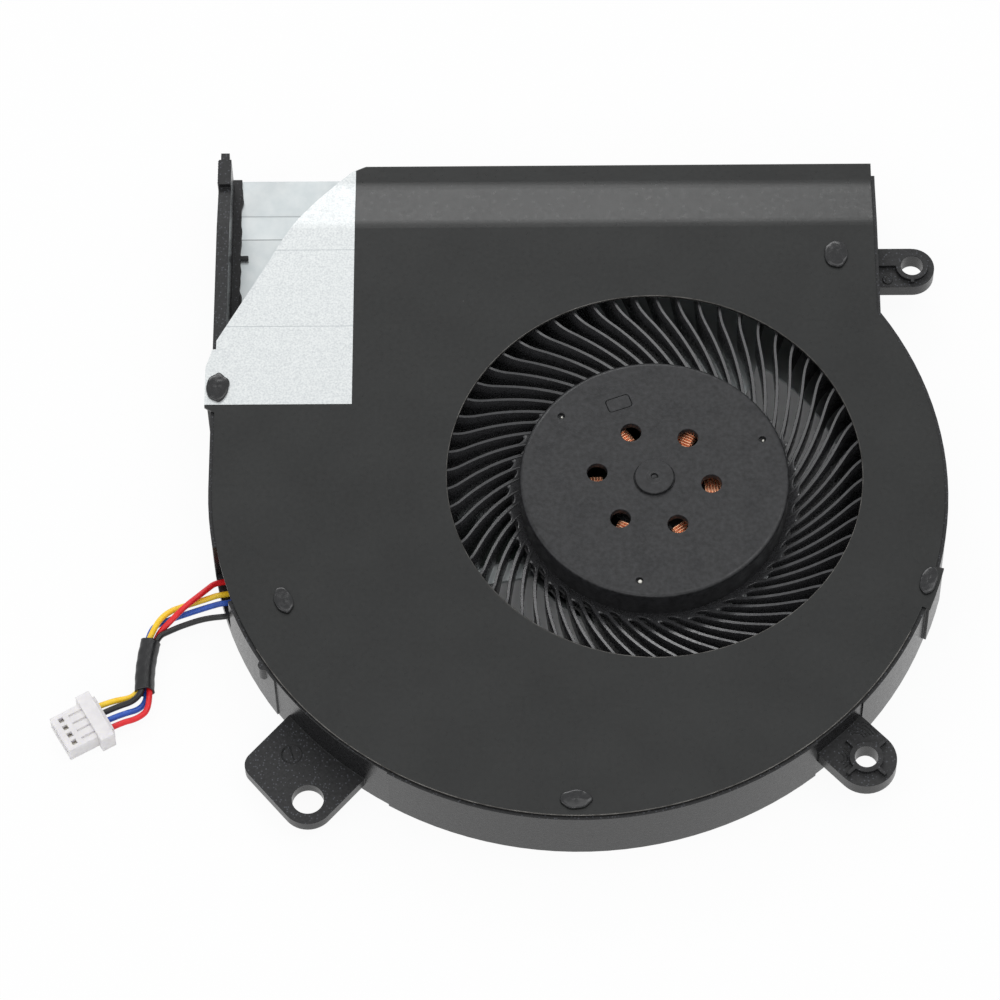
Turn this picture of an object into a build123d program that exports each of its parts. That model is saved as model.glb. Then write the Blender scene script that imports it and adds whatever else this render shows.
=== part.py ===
"""Slim blower fan of a laptop's cooling system, in millimetres.

The origin lies on the impeller's axis at the underside of the base plate. +Z points up through
the inlet and +Y out through the outlet.
"""
import math
import os

from build123d import *

os.makedirs("parts", exist_ok=True)

# Housing: a round side wall that opens into a duct
height = 8.0  # underside of the base plate to the top of the cover
cover_thickness = 0.3
plate_thickness = 0.4
volute_x = -8.3  # centre of the round side wall
volute_y = -1.5
volute_radius = 40.0  # its outer face
wall = 1.4
duct_right = 25.2  # outer face of the duct's right wall
duct_end = 38.9  # outlet end of that wall
inlet_radius = 22.5

# Tongue that guides the air from the impeller into the duct
tongue_depth = 6.4  # from the duct's outer face to the nose
tongue_low = 17.9
tongue_high = 37.0
tongue_nose_low = 25.6
tongue_nose_high = 29.6
tongue_shoulder = 3.7  # depth of the point between the wall and the nose
tongue_shoulder_y = 21.4
tongue_root = 0.6
tongue_round = 1.5

# Left wall end, which stands past the cover, and the foot beside it
left_block_start = 37.9
left_block_end = 41.15
left_block_top = 7.4
left_tip_end = 42.0
left_tip_width = 0.95
foot_start = 13.0
foot_width = 0.85
foot_height = 0.4
nub_y = 32.3
nub_reach = 0.9
nub_width = 0.5

# Top cover: sheet that drops to a lip over the outlet, with its left corner cut away
cover_inset = 0.4
slope_start = 32.1
slope_end = 37.7
cover_drop = 1.0
cover_bend = 6.0  # inner radius of the two bends
cover_end = 40.35
cut_top = 16.5  # from the duct's left face to where the cut starts on the lip
cut_shoulder = 15.0
cut_shoulder_drop = 0.7
cut_middle = 10.4
cut_middle_drop = 5.65
cut_low = 6.1
cut_low_drop = 12.85
cut_foot = 17.0  # height of the cut's end on the left edge
ear_reach = 0.7
ear_low = 8.6
ear_high = 13.6
ear_top = 15.9
right_ear_start = -22.4
right_ear_size = 7.4
right_ear_reach = 0.5

# Base plate: sheet that steps up at the outlet, with an inlet ring of its own
plate_inset = 0.7
plate_step = 0.5
plate_step_start = 34.9
plate_step_end = 37.65
plate_bend = 1.0
plate_end = 42.4
lower_inlet_gap = 0.3  # outside the impeller's flange
lower_inlet_outer = 21.7
spokes = 3
spoke_width = 11.0
spoke_angle = 192.0
board_angle = 195.0  # direction of the board's tail, over a spoke

# Reflective foil on the cover's left corner
foil_thickness = 0.06
foil_width = 15.4  # from the duct's left face
foil_low = 8.85
foil_margin = 0.05  # round the stake that comes through it

# Moulded stakes that rivet the cover down
stake_head = 0.3
stake_clearance = 0.05
stake_post = 1.4  # width of the square posts
edge_post = 1.0  # the same in the thin walls
right_stake_inset = 4.7
right_stake_y = 27.7
left_stake_y = 11.0
pillar_angle = -156.1
pillar_inset = 5.5
pillar_radius = 1.5
pillar_rib = 1.2
boss_angle = -90.7
boss_inset = 2.2
ear_stake_angle = -17.8

# Screw tabs
right_tab_x = 3.85  # hole centre from the duct's outer face
right_tab_y = 27.85
right_tab_radius = 2.5
right_tab_low = 3.2
right_tab_high = 4.9
right_step_inset = 0.3  # of the raised half, from the tab's edge
corner_tab_angle = -46.3
corner_tab_reach = 3.75  # hole centre outside the round wall
corner_tab_radius = 3.25
corner_tab_low = 3.1
tab_hole = 1.25
tab_ring = 0.55
tab_ring_height = 0.5
tab_rib = 0.4
foot_tab_angle = -131.5
foot_tab_reach = 5.3
foot_tab_side = 1.65
foot_tab_hole = 1.7
foot_tab_lobe = 2.9
foot_tab_depth = 7.05
foot_tab_left = 6.6
foot_tab_low = 1.4
foot_tab_high = 2.8
foot_tab_round = 1.7
ejector_radius = 0.95
ejector_depth = 0.1

# Side wall details
wall_recess = 0.15
recess_sectors = ((-144.0, 23.5), (-51.2, 9.7))  # start angle and size, about the volute's centre
slot_start = -169.5
slot_size = 9.8
slot_floor = 1.5
bump_reach = 0.4
bump_low = 1.0
pip_angle = -147.3
pip_radius = 0.6
pip_height = 2.2

# Impeller
blades = 61
blade_thickness = 0.32
root_reach = 0.35  # from the hub's side to the blades' roots
blade_root_angle = -23.3
blade_stretches = (  # radius that each stretch of a blade reaches, and its lean from the radius
    (17.2, 46.0),
    (19.4, 46.0),
    (21.8, 46.0),
    (23.5, 34.0),
    (28.0, 20.0),
)
blade_bearing = 45.0  # direction along which a blade climbs
blade_gap = 0.7  # under the cover's sheet
blade_seat = 3.15  # height at the root
hub_radius = 14.65
hub_sink = 1.1  # below the top of the cover
hub_skin = 0.8
hub_side = 1.0
hub_bottom = 1.6
hub_chamfer = 0.25
flange_reach = 0.85
flange_top = 3.3
flange_dip = 0.4  # towards the hub
boss_radius = 2.55
boss_drop = 0.7
vent_circle = 6.23
vent_radius = 1.1
vent_angle = -6.7

# Rotor
fit_gap = 0.05  # between pieces that are glued or pressed
shaft_radius = 1.0
shaft_seat = 0.4  # hub left above the shaft's end
yoke_thickness = 0.45
magnet_thickness = 1.55
magnet_low = 1.7
magnet_height = 3.7
shaft_chamfer = 0.25

# Bearing and motor
running_gap = 0.02
bush_wall = 0.96
bush_low = 1.7
holder_top = 5.0
holder_wall = 1.2
holder_flange = 4.2
holder_flange_thickness = 0.4
holder_floor = 0.3
pad_thickness = 0.4
core_low = 2.5
core_thickness = 1.8
air_gap = 0.55  # between the magnet and the core
shoe_depth = 1.8
core_yoke = 5.2
core_arm = 2.1
shoe_angle = 48.0
stator_angle = 4.5
insulator_thickness = 0.4
coils = 6
coil_width = 3.2
coil_build = 0.45  # winding above and below the insulators
coil_inner = 5.6
coil_gap = 0.3  # inside the core's shoes
board_inner = 4.4
board_margin = 1.2  # outside the core
board_thickness = 0.4
tail_width = 4.6
tail_end = 37.5
chip_size = 3.0
chip_height = 0.7
chip_inset = 2.2  # inside the core's edge
capacitor_length = 1.6
capacitor_width = 0.8
capacitor_height = 0.6

# Leads and plug
lead_diameter = 0.65
cord_sides = 6  # the cords are drawn as slim prisms
bend_radius = 5 * lead_diameter
fold_radius = 0.9  # tight fold where the leads leave the sleeve
sharp_turn = 60.0  # turns past this are such folds
corner_share = 0.45  # of the shorter stretch beside a corner that its bend may take
sleeve_radius = 1.1
sleeve_bore = 0.9
plug_rear = (-59.08, -25.78)
plug_angle = 210.0  # direction from its rear face to its front
plug_ways = 4
plug_pitch = 1.0
plug_length = 5.4
plug_width = 4.5
plug_height = 2.2
plug_lift = 0.15
flange_width = 6.0
flange_start = 1.9
flange_length = 1.6
flange_height = 2.5
cavity = 0.8
cavity_height = 1.25
window = 0.55
window_from_front = 1.0
key_groove_width = 0.22
key_groove_length = 1.6
key_groove_depth = 0.15
terminal_width = 0.68
terminal_wall = 0.12
terminal_length = 2.6
lead_depth = 2.2  # how far the leads reach into the plug

# Worked out from the sizes above
duct_left = volute_x - volute_radius
wall_top = height - cover_thickness
duct_width = duct_right - duct_left
past_the_part = 3 * volute_radius
behind = volute_y - volute_radius - wall
foot_top = plate_thickness + foot_height
plate_outer_bend = plate_bend + plate_thickness
hub_top = height - hub_sink
hub_ceiling = hub_top - hub_skin
blade_root = hub_radius + root_reach
blade_top = wall_top - blade_gap
blade_tip = blade_stretches[-1][0]
flange_radius = hub_radius + flange_reach
lower_inlet_inner = flange_radius + lower_inlet_gap
yoke_radius = hub_radius - hub_side - fit_gap
magnet_radius = yoke_radius - yoke_thickness - fit_gap
core_outer = magnet_radius - magnet_thickness - air_gap
core_shoe = core_outer - shoe_depth
coil_outer = core_shoe - coil_gap
board_outer = core_outer + board_margin
chip_circle = core_outer - chip_inset
shaft_top = hub_top - shaft_seat
bush_radius = shaft_radius + running_gap + bush_wall
holder_bore = bush_radius + running_gap
holder_radius = holder_bore + holder_wall
holder_bed = plate_thickness + holder_floor
pad_top = holder_bed + pad_thickness
core_high = core_low + core_thickness
coil_low = core_low - insulator_thickness - coil_build
coil_high = core_high + insulator_thickness + coil_build
board_high = plate_thickness + board_thickness


def polar(radius, degrees, centre=(0.0, 0.0)):
    """Point at a radius and an angle about a centre."""
    angle = math.radians(degrees)
    return (centre[0] + radius * math.cos(angle), centre[1] + radius * math.sin(angle))


def about_volute(radius, degrees):
    """Point about the centre of the round side wall."""
    return polar(radius, degrees, (volute_x, volute_y))


def radial_plane(degrees, level):
    """Plane at a level whose x axis points away from the centre of the round side wall."""
    away = polar(1, degrees)
    return Plane(origin=(volute_x, volute_y, level), x_dir=(*away, 0))


def save(part, name):
    """Label a finished piece and write it."""
    part.label = name
    export_step(part, f"parts/{name}.step")


# Stakes: place, width and length of the head, its turn, and the width of its post
right_stake = ((duct_right - right_stake_inset, right_stake_y), 2.4, 3.2, 0, stake_post)
left_stake = ((duct_left + wall / 2, left_stake_y), 2.3, 3.2, 0, edge_post)
pillar_stake = (about_volute(volute_radius - pillar_inset, pillar_angle), 1.8, 3.0, 20, stake_post)
boss_stake = (about_volute(volute_radius - boss_inset, boss_angle), 3.05, 2.05, 0, stake_post)
ear_stake = (about_volute(volute_radius - wall / 2, ear_stake_angle), 1.7, 3.1, -18, edge_post)
stakes = (right_stake, left_stake, pillar_stake, boss_stake, ear_stake)

# Outline of the cover seen from above
with BuildSketch() as cover_plan:
    with Locations((volute_x, volute_y)):
        Circle(volute_radius - cover_inset)
    with Locations((duct_left + cover_inset, volute_y)):
        Rectangle(duct_width - 2 * cover_inset, cover_end - volute_y, align=(Align.MIN, Align.MIN))
    with BuildLine():
        top = Polyline(
            (duct_left - wall, cut_foot),
            (duct_left - wall, cover_end + wall),
            (duct_left + cut_top, cover_end + wall),
            (duct_left + cut_top, cover_end),
            (duct_left + cut_shoulder, cover_end - cut_shoulder_drop),
        )
        bow = ThreePointArc(
            top @ 1,
            (duct_left + cut_middle, cover_end - cut_middle_drop),
            (duct_left + cut_low, cover_end - cut_low_drop),
        )
        Polyline(bow @ 1, (duct_left + cover_inset, cut_foot), top @ 0)
    make_face(mode=Mode.SUBTRACT)
    with BuildLine():
        Polyline(
            (duct_left + wall, ear_top),
            (duct_left, ear_top),
            (duct_left - ear_reach, ear_high),
            (duct_left - ear_reach, ear_low),
            (duct_left + cover_inset, ear_low - ear_reach),
            (duct_left + wall, ear_low - ear_reach),
            close=True,
        )
    make_face()
    with BuildLine():
        ear_inside = volute_radius - wall
        ear_outside = volute_radius + right_ear_reach
        outer = CenterArc((volute_x, volute_y), ear_outside, right_ear_start, right_ear_size)
        inner = CenterArc((volute_x, volute_y), ear_inside, right_ear_start, right_ear_size)
        Line(outer @ 0, inner @ 0)
        Line(outer @ 1, inner @ 1)
    make_face()
    Circle(inlet_radius, mode=Mode.SUBTRACT)


def cover_profile(low, high):
    """Side view of a layer of the cover between two levels, and the radius at each corner."""
    points = (
        (behind, high),
        (slope_start, high),
        (slope_end, high - cover_drop),
        (cover_end, high - cover_drop),
        (cover_end, low - cover_drop),
        (slope_end, low - cover_drop),
        (slope_start, low),
        (behind, low),
    )
    crests = [cover_bend + level - wall_top for level in (low, high)]
    dips = [cover_bend + height - level for level in (low, high)]
    return points, (0, crests[1], dips[1], 0, 0, dips[0], crests[0], 0)


with BuildPart() as top_cover:
    with BuildSketch(Plane.YZ):
        with BuildLine():
            corners, bends = cover_profile(wall_top, height)
            FilletPolyline(*corners, radius=bends, close=True)
        make_face()
    extrude(amount=past_the_part, both=True)
    extrude(cover_plan.sketch, amount=height, mode=Mode.INTERSECT)
    with BuildSketch() as stake_holes:
        for place, across, along, turn, pin in stakes:
            with Locations(Location((*place, 0), turn)):
                Rectangle(pin + 2 * stake_clearance, pin + 2 * stake_clearance)
    extrude(amount=height, mode=Mode.SUBTRACT)
save(top_cover.part, "top_cover")

with BuildPart() as foil_patch:
    with BuildSketch(Plane.YZ):
        with BuildLine():
            corners, bends = cover_profile(height, height + foil_thickness)
            FilletPolyline(*corners, radius=bends, close=True)
        make_face()
    extrude(amount=past_the_part, both=True)
    extrude(cover_plan.sketch, amount=height + foil_thickness, mode=Mode.INTERSECT)
    with BuildSketch() as foil_area:
        with Locations((duct_left - ear_reach, foil_low)):
            Rectangle(foil_width + ear_reach, cover_end - foil_low, align=(Align.MIN, Align.MIN))
        place, across, along, turn, pin = left_stake
        with Locations(Location((*place, 0), turn)):
            Ellipse(across / 2 + foil_margin, along / 2 + foil_margin, mode=Mode.SUBTRACT)
    extrude(amount=height + foil_thickness, mode=Mode.INTERSECT)
save(foil_patch.part, "foil_patch")

with BuildPart() as base_plate:
    with BuildSketch(Plane.YZ):
        with BuildLine():
            FilletPolyline(
                (behind, 0),
                (plate_step_start, 0),
                (plate_step_end, plate_step),
                (plate_end, plate_step),
                (plate_end, plate_step + plate_thickness),
                (plate_step_end, plate_step + plate_thickness),
                (plate_step_start, plate_thickness),
                (behind, plate_thickness),
                radius=(0, plate_outer_bend, plate_bend, 0, 0, plate_outer_bend, plate_bend, 0),
                close=True,
            )
        make_face()
    extrude(amount=past_the_part, both=True)
    with BuildSketch() as plate_plan:
        with Locations((volute_x, volute_y)):
            Circle(volute_radius - plate_inset)
        with Locations((duct_left + plate_inset, volute_y)):
            Rectangle(duct_width - 2 * plate_inset, plate_end - volute_y, align=(Align.MIN, Align.MIN))
    extrude(amount=height, mode=Mode.INTERSECT)
    with BuildSketch() as lower_inlet:
        Circle(lower_inlet_outer)
        Circle(lower_inlet_inner, mode=Mode.SUBTRACT)
        with PolarLocations(lower_inlet_outer / 2, spokes, start_angle=spoke_angle):
            Rectangle(2 * lower_inlet_outer, spoke_width, mode=Mode.SUBTRACT)
    extrude(amount=plate_thickness, mode=Mode.SUBTRACT)
save(base_plate.part, "base_plate")

with BuildPart() as frame:
    with BuildSketch() as wall_plan:
        with Locations((volute_x, volute_y)):
            Circle(volute_radius)
        with Locations((duct_left, volute_y)):
            Rectangle(duct_width, duct_end - volute_y, align=(Align.MIN, Align.MIN))
        with Locations((volute_x, volute_y)):
            Circle(volute_radius - wall, mode=Mode.SUBTRACT)
        with Locations((duct_left + wall, volute_y)):
            Rectangle(
                duct_width - 2 * wall, past_the_part, align=(Align.MIN, Align.MIN), mode=Mode.SUBTRACT
            )
    extrude(amount=wall_top)
    # Tongue
    with BuildSketch() as tongue:
        with BuildLine():
            Polyline(
                (duct_right - tongue_root, tongue_low),
                (duct_right - tongue_shoulder, tongue_shoulder_y),
                (duct_right - tongue_depth, tongue_nose_low),
                (duct_right - tongue_depth, tongue_nose_high),
                (duct_right - tongue_root, tongue_high),
                close=True,
            )
        make_face()
        fillet(tongue.vertices().group_by(Axis.X)[0], tongue_round)
    extrude(amount=wall_top)
    # Recessed stretches of the round wall
    with BuildSketch() as recesses:
        for start, size in recess_sectors:
            with BuildLine():
                face = CenterArc((volute_x, volute_y), volute_radius - wall_recess, start, size)
                clear = CenterArc((volute_x, volute_y), volute_radius + wall, start, size)
                Line(face @ 0, clear @ 0)
                Line(face @ 1, clear @ 1)
            make_face()
    extrude(amount=wall_top, mode=Mode.SUBTRACT)
    # Bumps under the cover's two ears, and a pip beside the wall
    with BuildSketch(Plane.XY.offset(bump_low)) as bumps:
        with BuildLine():
            face = CenterArc((volute_x, volute_y), volute_radius - wall / 2, right_ear_start, right_ear_size)
            bump_face = volute_radius + bump_reach
            proud = CenterArc((volute_x, volute_y), bump_face, right_ear_start, right_ear_size)
            Line(face @ 0, proud @ 0)
            Line(face @ 1, proud @ 1)
        make_face()
        with Locations((duct_left - bump_reach, ear_low)):
            Rectangle(bump_reach + wall / 2, ear_high - ear_low, align=(Align.MIN, Align.MIN))
    extrude(amount=wall_top - bump_low)
    with BuildSketch(Plane.XY.offset(wall_top - pip_height)):
        with Locations(about_volute(volute_radius - wall_recess, pip_angle)):
            Circle(pip_radius)
    extrude(amount=pip_height)
    # Foot beside the left wall, with a nub
    with BuildSketch(Plane.YZ.offset(duct_left + wall / 2)) as foot:
        with BuildLine():
            Polyline(
                (foot_start, 0),
                (plate_end, 0),
                (plate_end, foot_top + plate_step),
                (plate_step_end, foot_top + plate_step),
                (plate_step_start, foot_top),
                (foot_start, foot_top),
                close=True,
            )
        make_face()
    extrude(amount=wall / 2 + foot_width)
    with BuildSketch() as nub:
        with Locations((duct_left + wall, nub_y)):
            Rectangle(foot_width + nub_reach, nub_width, align=(Align.MIN, Align.CENTER))
    extrude(amount=foot_top)
    # Walls drop with the cover towards the outlet
    with BuildSketch(Plane.YZ):
        with BuildLine():
            corners, bends = cover_profile(wall_top, height + wall)
            FilletPolyline(*corners, radius=bends, close=True)
        make_face()
    extrude(amount=past_the_part, both=True, mode=Mode.SUBTRACT)
    # Left wall end
    with BuildSketch() as left_block:
        with Locations((duct_left, left_block_start)):
            Rectangle(wall, left_block_end - left_block_start, align=(Align.MIN, Align.MIN))
        with Locations((duct_left + (wall - left_tip_width) / 2, left_block_start)):
            Rectangle(left_tip_width, left_tip_end - left_block_start, align=(Align.MIN, Align.MIN))
    extrude(amount=left_block_top)
    # Pillar and boss under the stakes that stand clear of the walls
    with BuildSketch() as pillars:
        with Locations(pillar_stake[0], boss_stake[0]):
            Circle(pillar_radius)
        with BuildLine():
            Line(pillar_stake[0], about_volute(volute_radius - wall / 2, pillar_angle))
        trace(line_width=pillar_rib)
    extrude(amount=wall_top)
    # Slot where the leads leave
    with BuildSketch(Plane.XY.offset(slot_floor)) as lead_slot:
        with BuildLine():
            face = CenterArc((volute_x, volute_y), volute_radius - 2 * wall, slot_start, slot_size)
            clear = CenterArc((volute_x, volute_y), volute_radius + wall, slot_start, slot_size)
            Line(face @ 0, clear @ 0)
            Line(face @ 1, clear @ 1)
        make_face()
    extrude(amount=height, mode=Mode.SUBTRACT)
    # Screw tab on the duct's right wall
    right_hole = (duct_right + right_tab_x, right_tab_y)
    with BuildSketch(Plane.XY.offset(right_tab_low)) as right_tab:
        with Locations((duct_right - wall / 2, right_tab_y)):
            Rectangle(right_tab_x + wall / 2, 2 * right_tab_radius, align=(Align.MIN, Align.CENTER))
        with Locations(right_hole):
            Circle(right_tab_radius)
    extrude(amount=right_tab_high - right_tab_low)
    with BuildSketch(Plane.XY.offset(right_tab_low)) as right_ring:
        with Locations(right_hole):
            Circle(tab_hole + tab_ring)
        with Locations((duct_right - wall / 2, right_tab_y)):
            step_depth = right_tab_radius - right_step_inset
            Rectangle(right_tab_x + wall / 2, step_depth, align=(Align.MIN, Align.MIN))
        with Locations(right_hole):
            Rectangle(tab_rib, right_tab_radius - tab_rib, align=(Align.CENTER, Align.MAX))
    extrude(amount=right_tab_high + tab_ring_height - right_tab_low)
    with BuildSketch(Plane.XY.offset(right_tab_low)):
        with Locations(right_hole):
            Circle(tab_hole)
    extrude(amount=height, mode=Mode.SUBTRACT)
    # Screw tab at the round wall's right
    corner_hole = volute_radius + corner_tab_reach
    with BuildSketch(radial_plane(corner_tab_angle, corner_tab_low)) as corner_tab:
        with Locations((volute_radius - wall / 2, 0)):
            Rectangle(corner_tab_reach + wall / 2, 2 * corner_tab_radius, align=(Align.MIN, Align.CENTER))
        with Locations((corner_hole, 0)):
            Circle(corner_tab_radius)
    extrude(amount=right_tab_high - corner_tab_low)
    with BuildSketch(radial_plane(corner_tab_angle, corner_tab_low)) as corner_ring:
        with Locations((corner_hole, 0)):
            Rectangle(2 * (corner_tab_radius - tab_rib), tab_rib)
            Rectangle(tab_rib, 2 * (corner_tab_radius - tab_rib))
        with Locations((corner_hole, 0)):
            Circle(tab_hole + tab_ring)
    extrude(amount=right_tab_high + tab_ring_height - corner_tab_low)
    with BuildSketch(radial_plane(corner_tab_angle, corner_tab_low)):
        with Locations((corner_hole, 0)):
            Circle(tab_hole)
    extrude(amount=height, mode=Mode.SUBTRACT)
    # Low screw tab at the round wall's left
    foot_hole = (volute_radius + foot_tab_reach, foot_tab_side)
    with BuildSketch(radial_plane(foot_tab_angle, foot_tab_low)) as foot_tab:
        with BuildLine():
            Polyline(
                (volute_radius - wall / 2, foot_tab_side + foot_tab_lobe),
                (volute_radius - wall / 2, -foot_tab_left),
                (volute_radius + foot_tab_depth, -foot_tab_left),
            )
            CenterArc(foot_hole, foot_tab_lobe, 0, 360)
        make_hull()
        corner = foot_tab.vertices().sort_by_distance((volute_radius + foot_tab_depth, -foot_tab_left))[0]
        fillet(corner, foot_tab_round)
        with Locations(foot_hole):
            Circle(foot_tab_hole, mode=Mode.SUBTRACT)
    extrude(amount=foot_tab_high - foot_tab_low)
    with BuildSketch(radial_plane(foot_tab_angle, foot_tab_high)):
        with Locations((volute_radius + foot_tab_depth / 2 - ejector_radius, -foot_tab_left / 2)):
            Circle(ejector_radius)
    extrude(amount=-ejector_depth, mode=Mode.SUBTRACT)
    # The sheet plate is moulded into the walls
    add(base_plate.part, mode=Mode.SUBTRACT)
    # Stakes: pins through the cover, and their flattened heads
    with BuildSketch(Plane.XY.offset(wall_top - wall)) as pins:
        for place, across, along, turn, pin in stakes:
            with Locations(Location((*place, 0), turn)):
                Rectangle(pin, pin)
    extrude(amount=cover_thickness + wall)
    with BuildSketch(Plane.XY.offset(height)) as heads:
        for place, across, along, turn, pin in stakes:
            with Locations(Location((*place, 0), turn)):
                Ellipse(across / 2, along / 2)
    extrude(amount=stake_head)
save(frame.part, "frame")

# One blade: a strip that leans evenly back from the hub and turns outwards past the inlet's edge. Its
# top climbs from the root and is level along the last stretch.
blade_faces = ([], [])
blade_reach = []
reached = blade_root
angle = blade_root_angle
for radius, lean in ((blade_root, blade_stretches[0][1]), *blade_stretches):
    lean = math.radians(lean)
    angle += math.degrees(math.tan(lean) * math.log(radius / reached))
    half = math.degrees(blade_thickness / (2 * radius * math.cos(lean)))
    blade_faces[0].append(polar(radius, angle - half))
    blade_faces[1].append(polar(radius, angle + half))
    blade_reach.append(radius * math.cos(math.radians(angle - blade_bearing)))
    reached = radius
climb = Plane(origin=(0, 0, 0), x_dir=polar(1, blade_bearing), z_dir=polar(1, blade_bearing - 90))
with BuildPart() as blade:
    with BuildSketch():
        with BuildLine():
            Polyline(*blade_faces[0], *reversed(blade_faces[1]), close=True)
        make_face()
    extrude(amount=height)
    with BuildSketch(climb):
        with BuildLine():
            Polyline(
                (0, hub_bottom),
                (blade_tip, hub_bottom),
                (blade_tip, blade_top),
                (blade_reach[-2], blade_top),
                (blade_reach[0], blade_seat),
                (0, blade_seat),
                close=True,
            )
        make_face()
    extrude(amount=blade_tip, both=True, mode=Mode.INTERSECT)

with BuildPart() as impeller:
    with BuildSketch(Plane.XZ):
        with BuildLine():
            Polyline(
                (0, hub_top),
                (hub_radius - hub_chamfer, hub_top),
                (hub_radius, hub_top - hub_chamfer),
                (hub_radius, flange_top - flange_dip),
                (flange_radius, flange_top),
                (flange_radius, hub_bottom),
                (hub_radius - hub_side, hub_bottom),
                (hub_radius - hub_side, hub_ceiling),
                (boss_radius, hub_ceiling),
                (boss_radius, hub_ceiling - boss_drop),
                (shaft_radius, hub_ceiling - boss_drop),
                (shaft_radius, shaft_top),
                (0, shaft_top),
                close=True,
            )
        make_face()
    revolve(axis=Axis.Z)
    with BuildSketch(Plane.XY.offset(hub_ceiling)):
        with PolarLocations(vent_circle, coils, start_angle=vent_angle):
            Circle(vent_radius)
    extrude(amount=hub_skin, mode=Mode.SUBTRACT)
    with PolarLocations(0, blades):
        add(blade.part)
save(impeller.part, "impeller")

with BuildPart() as rotor_yoke:
    with BuildSketch(Plane.XY.offset(magnet_low)):
        Circle(yoke_radius)
        Circle(yoke_radius - yoke_thickness, mode=Mode.SUBTRACT)
    extrude(amount=hub_ceiling - magnet_low)
save(rotor_yoke.part, "rotor_yoke")

with BuildPart() as magnet_ring:
    with BuildSketch(Plane.XY.offset(magnet_low)):
        Circle(magnet_radius)
        Circle(magnet_radius - magnet_thickness, mode=Mode.SUBTRACT)
    extrude(amount=magnet_height)
save(magnet_ring.part, "magnet_ring")

with BuildPart() as shaft:
    with BuildSketch(Plane.XZ):
        with BuildLine():
            Polyline(
                (0, pad_top + running_gap),
                (shaft_radius - shaft_chamfer, pad_top + running_gap),
                (shaft_radius, pad_top + running_gap + shaft_chamfer),
                (shaft_radius, shaft_top),
                (0, shaft_top),
                close=True,
            )
        make_face()
    revolve(axis=Axis.Z)
save(shaft.part, "shaft")

with BuildPart() as bearing_holder:
    with BuildSketch(Plane.XZ):
        with BuildLine():
            Polyline(
                (0, plate_thickness),
                (holder_flange, plate_thickness),
                (holder_flange, plate_thickness + holder_flange_thickness),
                (holder_radius, plate_thickness + holder_flange_thickness),
                (holder_radius, holder_top),
                (holder_bore, holder_top),
                (holder_bore, holder_bed),
                (0, holder_bed),
                close=True,
            )
        make_face()
    revolve(axis=Axis.Z)
save(bearing_holder.part, "bearing_holder")

with BuildPart() as bearing_bush:
    with BuildSketch(Plane.XY.offset(bush_low)):
        Circle(bush_radius)
        Circle(shaft_radius + running_gap, mode=Mode.SUBTRACT)
    extrude(amount=holder_top - bush_low)
save(bearing_bush.part, "bearing_bush")

with BuildPart() as thrust_pad:
    with BuildSketch(Plane.XY.offset(holder_bed)):
        Circle(holder_bore - fit_gap)
    extrude(amount=pad_thickness)
save(thrust_pad.part, "thrust_pad")

with BuildPart() as stator_core:
    with BuildSketch(Plane.XY.offset(core_low)) as core_plan:
        Circle(core_outer)
        Circle(core_shoe, mode=Mode.SUBTRACT)
        with PolarLocations(core_outer, coils, start_angle=stator_angle + 180 / coils):
            Rectangle(
                2 * core_outer,
                2 * core_outer * math.sin(math.radians(180 / coils - shoe_angle / 2)),
                mode=Mode.SUBTRACT,
            )
        with PolarLocations((core_yoke + core_shoe) / 2, coils, start_angle=stator_angle):
            Rectangle(core_shoe - core_yoke + core_arm, core_arm)
        Circle(core_yoke)
        Circle(holder_radius + running_gap, mode=Mode.SUBTRACT)
    extrude(amount=core_thickness)
save(stator_core.part, "stator_core")


def insulator(name, level):
    """End piece that keeps the windings off the core."""
    with BuildPart() as piece:
        with BuildSketch(Plane.XY.offset(level)):
            with PolarLocations((core_yoke + core_shoe) / 2, coils, start_angle=stator_angle):
                Rectangle(core_shoe - core_yoke + core_arm, core_arm)
            RegularPolygon(core_yoke, coils)
            RegularPolygon(holder_radius + running_gap, coils, major_radius=False, mode=Mode.SUBTRACT)
        extrude(amount=insulator_thickness)
    save(piece.part, name)


insulator("lower_insulator", core_low - insulator_thickness)
insulator("upper_insulator", core_high)


def coil(number):
    """Winding round one arm of the core."""
    angle = stator_angle + (number - 1) * 360 / coils
    along = polar(1, angle)
    middle = (core_low + core_high) / 2
    start = (*polar(coil_inner, angle), middle)
    face = Plane(origin=start, x_dir=(-along[1], along[0], 0), z_dir=(*along, 0))
    with BuildPart() as winding:
        with BuildSketch(face):
            Rectangle(coil_width, coil_high - coil_low)
            Rectangle(
                core_arm + 2 * running_gap,
                core_thickness + 2 * insulator_thickness + 2 * running_gap,
                mode=Mode.SUBTRACT,
            )
        extrude(amount=coil_outer - coil_inner)
    save(winding.part, f"coil_{number}")


for number in range(1, coils + 1):
    coil(number)

with BuildPart() as circuit_board:
    with BuildSketch(Plane.XY.offset(plate_thickness)):
        Circle(board_outer)
        with PolarLocations((board_inner + tail_end) / 2, 1, start_angle=board_angle):
            Rectangle(tail_end - board_inner, tail_width)
        Circle(board_inner, mode=Mode.SUBTRACT)
    extrude(amount=board_thickness)
save(circuit_board.part, "circuit_board")

with BuildPart() as driver_chip:
    with BuildSketch(Plane.XY.offset(board_high)):
        with PolarLocations(chip_circle, 1, start_angle=board_angle):
            Rectangle(chip_size, chip_size)
    extrude(amount=chip_height)
save(driver_chip.part, "driver_chip")

with BuildPart() as board_capacitor:
    with BuildSketch(Plane.XY.offset(board_high)):
        with PolarLocations(chip_circle, 1, start_angle=board_angle + 90):
            Rectangle(capacitor_width, capacitor_length)
    extrude(amount=capacitor_height)
save(board_capacitor.part, "board_capacitor")

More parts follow.
